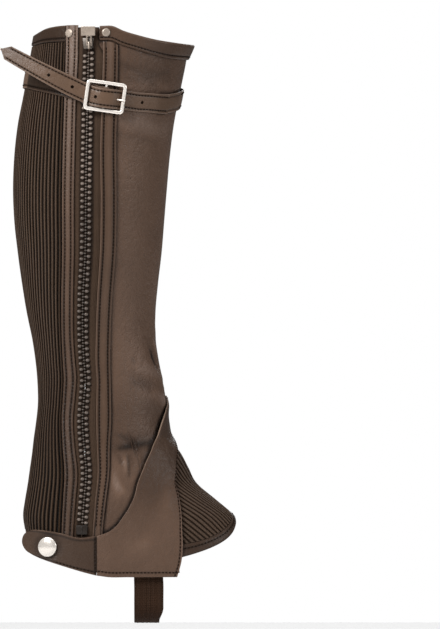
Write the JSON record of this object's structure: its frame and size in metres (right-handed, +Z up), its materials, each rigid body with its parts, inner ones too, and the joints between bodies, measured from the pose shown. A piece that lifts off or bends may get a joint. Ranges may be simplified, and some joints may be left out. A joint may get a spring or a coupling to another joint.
{
  "type": "half chap",
  "caption": "Leather riding half chap for the lower leg, with a side zip, ribbed elastic back panel, buckled calf strap, ankle overlay with a press stud, and an elastic strap under the boot.",
  "frame": {"origin": "on the axis of the wearer's leg, at the fullest part of the calf", "axes": "+X towards the toe, -Y to the outer side of the right leg, where the zip runs, +Z up along the leg"},
  "size_m": [0.1791, 0.1238, 0.4539],
  "materials": {
    "leather": "smooth dark brown leather with a fine grain, lightly waxed",
    "leather_trim": "the same leather, cut in strips and bound edges",
    "elastic": "ribbed dark brown elastic",
    "webbing": "plain dark brown elastic web",
    "zip_tape": "woven brown zip tape",
    "zip_plastic": "moulded dark brown teeth",
    "bronze": "dull antique bronze",
    "nickel": "polished nickel plate"
  },
  "bodies": {
    "root": {"front_panel": "leather", "ankle_overlay": "leather", "calf_strap_band": "leather", "zip_facing_back": "leather_trim", "zip_facing_front": "leather_trim", "top_band_front": "leather_trim", "top_band_back": "leather_trim", "overlay_tab": "leather_trim", "calf_strap_tail": "leather_trim", "gusset_binding": "leather_trim", "heel_binding": "leather_trim", "back_elastic_panel": "elastic", "instep_gusset": "elastic", "understrap": "webbing", "zip_tape_back": "zip_tape", "zip_tape_front": "zip_tape", "zip_chain": "zip_plastic", "zip_box": "zip_plastic", "zip_slider": "bronze", "rivet_back": "bronze", "rivet_front": "bronze", "buckle_frame": "nickel", "buckle_prong": "nickel", "snap_cap": "nickel"},
    "zip_pull": {"zip_pull": "bronze"}
  },
  "joints": [
    {"name": "pull_hinge", "type": "hinge", "parent": "root", "child": "zip_pull", "pos_m": [-0.00038, -0.06037, 0.10716], "axis": [0.9792, -0.203, 0], "range_deg": [0, 178]}
  ]
}
